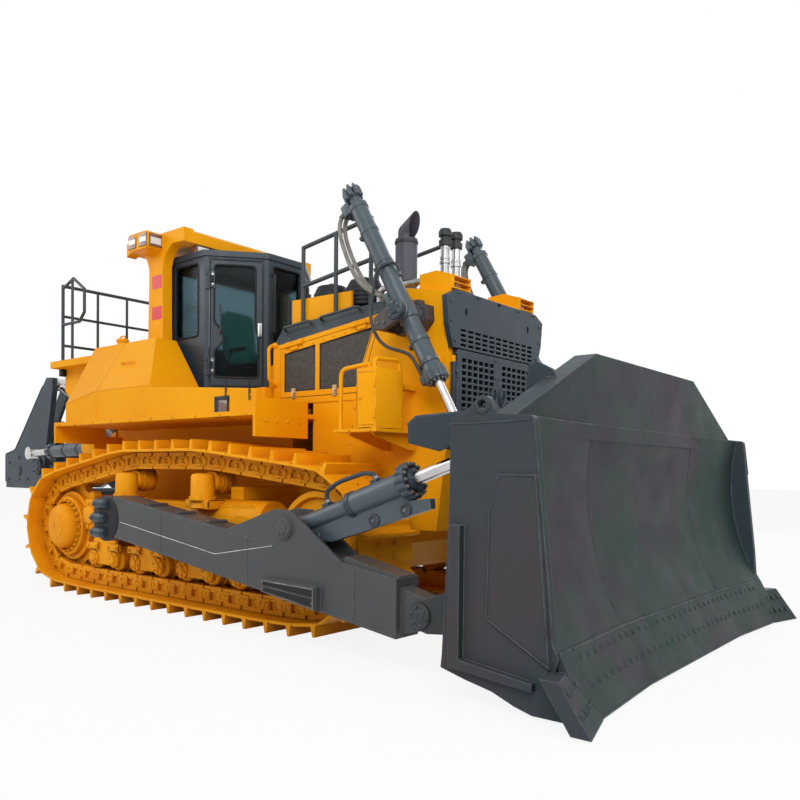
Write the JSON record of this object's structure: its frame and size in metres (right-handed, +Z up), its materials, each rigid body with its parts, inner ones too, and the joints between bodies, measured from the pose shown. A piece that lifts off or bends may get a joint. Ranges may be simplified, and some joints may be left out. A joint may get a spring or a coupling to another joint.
{
  "type": "bulldozer",
  "caption": "Large crawler bulldozer with a semi-U blade on push arms, twin lift and tilt cylinders, opening cab, hood and grille doors, and a single-shank rear ripper.",
  "frame": {"origin": "on the ground, under the middle of the whole machine from end bits to ripper", "axes": "+X forward, +Y to the left, +Z up"},
  "size_m": [11.64, 5.28, 4.56],
  "materials": {
    "yellow_paint": "gloss machine yellow",
    "slate_paint": "satin slate grey",
    "black_paint": "satin black",
    "worn_steel": "bare forged steel",
    "chrome_rod": "polished",
    "cab_glass": "tinted clear",
    "seat_fabric": "woven"
  },
  "bodies": {
    "tractor": {"air_cleaners": "black_paint", "bogie_rollers": "yellow_paint", "cab": "slate_paint", "cab_glass": "cab_glass", "carrier_rollers": "yellow_paint", "engine": "black_paint", "exhaust_stack": "slate_paint", "fender_left": "yellow_paint", "fender_right": "yellow_paint", "front_lamps": "yellow_paint", "front_mask": "slate_paint", "handrails": "black_paint", "hood": "yellow_paint", "idlers": "yellow_paint", "lift_yokes": "yellow_paint", "main_frame": "yellow_paint", "radiator_guard": "yellow_paint", "rear_tank": "yellow_paint", "ripper_brackets": "yellow_paint", "rops": "yellow_paint", "seat": "seat_fabric", "side_steps": "yellow_paint", "sprockets": "yellow_paint", "track_frames": "yellow_paint", "track_left": "yellow_paint", "track_right": "yellow_paint"},
    "push_arms": {"push_arm_right": "slate_paint", "push_arm_left": "slate_paint"},
    "blade": {"blade": "slate_paint", "blade_lugs": "slate_paint", "cutting_edges": "slate_paint"},
    "lift_barrels": {"lift_barrels": "slate_paint"},
    "lift_rods": {"lift_rods": "chrome_rod"},
    "tilt_barrels": {"tilt_barrels": "slate_paint"},
    "tilt_rods": {"tilt_rods": "chrome_rod"},
    "cab_door_right": {"cab_door_right": "slate_paint", "door_glass_right": "cab_glass"},
    "cab_door_left": {"cab_door_left": "slate_paint", "door_glass_left": "cab_glass"},
    "hood_door_right": {"hood_door_right": "yellow_paint"},
    "hood_door_left": {"hood_door_left": "yellow_paint"},
    "grille_door_right": {"grille_door_right": "slate_paint"},
    "grille_door_left": {"grille_door_left": "slate_paint"},
    "ripper_arm": {"ripper_arm": "slate_paint"},
    "ripper_pin": {"ripper_pin": "worn_steel"},
    "ripper_beam": {"ripper_beam": "slate_paint", "ripper_shank": "worn_steel"},
    "ripper_tilt_barrels": {"ripper_tilt_barrels": "slate_paint"},
    "ripper_tilt_rods": {"ripper_tilt_rods": "chrome_rod"},
    "ripper_lift_barrels": {"ripper_lift_barrels": "slate_paint"},
    "ripper_lift_rods": {"ripper_lift_rods": "chrome_rod"}
  },
  "joints": [
    {"name": "blade_lift", "type": "hinge", "parent": "tractor", "child": "push_arms", "pos_m": [-0.2, 0, 1.04], "axis": [0, 1, 0], "range_deg": [-15.5, 9.7]},
    {"name": "blade_pitch", "type": "hinge", "parent": "push_arms", "child": "blade", "pos_m": [4.2, 0, 0.49], "axis": [0, 1, 0], "range_deg": [-5, 5]},
    {"name": "lift_barrel_swing", "type": "hinge", "parent": "tractor", "child": "lift_barrels", "pos_m": [3.25, 0, 3.085], "axis": [0, 1, 0], "range_deg": [-16.62, 10.59]},
    {"name": "lift_rod_stroke", "type": "slide", "parent": "lift_barrels", "child": "lift_rods", "axis": [0.4845, 0, -0.8748], "range_m": [-1.085, 0.682]},
    {"name": "tilt_barrel_swing", "type": "hinge", "parent": "push_arms", "child": "tilt_barrels", "pos_m": [2.7, 0, 1.08], "axis": [0, 1, 0], "range_deg": [-2.48, 2.48]},
    {"name": "tilt_rod_stroke", "type": "slide", "parent": "tilt_barrels", "child": "tilt_rods", "axis": [0.9457, 0, 0.3251], "range_m": [-0.101, 0.101]},
    {"name": "cab_door_right_swing", "type": "hinge", "parent": "tractor", "child": "cab_door_right", "pos_m": [0.01568, -0.87785, 3.4075], "axis": [0, 0, -1], "range_deg": [0, 90]},
    {"name": "cab_door_left_swing", "type": "hinge", "parent": "tractor", "child": "cab_door_left", "pos_m": [0.01568, 0.87785, 3.4075], "axis": [0, 0, 1], "range_deg": [0, 90]},
    {"name": "hood_door_right_lift", "type": "hinge", "parent": "tractor", "child": "hood_door_right", "pos_m": [2.03, -0.918, 3.04], "axis": [-0.9925, 0, -0.1226], "range_deg": [0, 75]},
    {"name": "hood_door_left_lift", "type": "hinge", "parent": "tractor", "child": "hood_door_left", "pos_m": [2.03, 0.918, 3.04], "axis": [0.9925, 0, 0.1226], "range_deg": [0, 75]},
    {"name": "grille_door_right_swing", "type": "hinge", "parent": "tractor", "child": "grille_door_right", "pos_m": [3.548, -0.768, 2.3375], "axis": [0, 0, -1], "range_deg": [0, 100]},
    {"name": "grille_door_left_swing", "type": "hinge", "parent": "tractor", "child": "grille_door_left", "pos_m": [3.548, 0.768, 2.3375], "axis": [0, 0, 1], "range_deg": [0, 100]},
    {"name": "ripper_lift", "type": "hinge", "parent": "tractor", "child": "ripper_arm", "pos_m": [-2.88, 0, 0.69], "axis": [0, -1, 0], "range_deg": [0, 38]},
    {"name": "ripper_pin_level", "type": "hinge", "parent": "ripper_arm", "child": "ripper_pin", "pos_m": [-4.68, 0, 1.64], "axis": [0, -1, 0], "range_deg": [-38.5, 0]},
    {"name": "ripper_tilt", "type": "hinge", "parent": "ripper_pin", "child": "ripper_beam", "pos_m": [-4.68, 0, 1.64], "axis": [0, -1, 0], "range_deg": [-8, 14]},
    {"name": "ripper_tilt_barrel_swing", "type": "hinge", "parent": "tractor", "child": "ripper_tilt_barrels", "pos_m": [-2.58, 0, 2.01], "axis": [0, -1, 0], "range_deg": [0, 38.5]},
    {"name": "ripper_tilt_rod_stroke", "type": "slide", "parent": "ripper_tilt_barrels", "child": "ripper_tilt_rods", "axis": [-0.8844, 0, 0.4668], "range_m": [-0.191, 0.326]},
    {"name": "ripper_lift_barrel_swing", "type": "hinge", "parent": "tractor", "child": "ripper_lift_barrels", "pos_m": [-2.61, 0, 1.9], "axis": [0, -1, 0], "range_deg": [0, 32.12]},
    {"name": "ripper_lift_rod_stroke", "type": "slide", "parent": "ripper_lift_barrels", "child": "ripper_lift_rods", "axis": [-0.9995, 0, -0.0321], "range_m": [0, 0.624]}
  ],
  "couplings": [
    {"joint": "lift_barrel_swing", "follows": "blade_lift", "ratio": 1.04},
    {"joint": "lift_rod_stroke", "follows": "blade_lift", "m_per_rad": 3.9721},
    {"joint": "tilt_barrel_swing", "follows": "blade_pitch", "ratio": 0.396},
    {"joint": "tilt_rod_stroke", "follows": "blade_pitch", "m_per_rad": 1.0452},
    {"joint": "ripper_pin_level", "follows": "ripper_lift", "ratio": -1},
    {"joint": "ripper_tilt_barrel_swing", "follows": "ripper_lift", "ratio": 1},
    {"joint": "ripper_tilt_rod_stroke", "follows": "ripper_tilt", "m_per_rad": 1.2951},
    {"joint": "ripper_lift_barrel_swing", "follows": "ripper_lift", "ratio": 0.832},
    {"joint": "ripper_lift_rod_stroke", "follows": "ripper_lift", "m_per_rad": 0.92556}
  ]
}
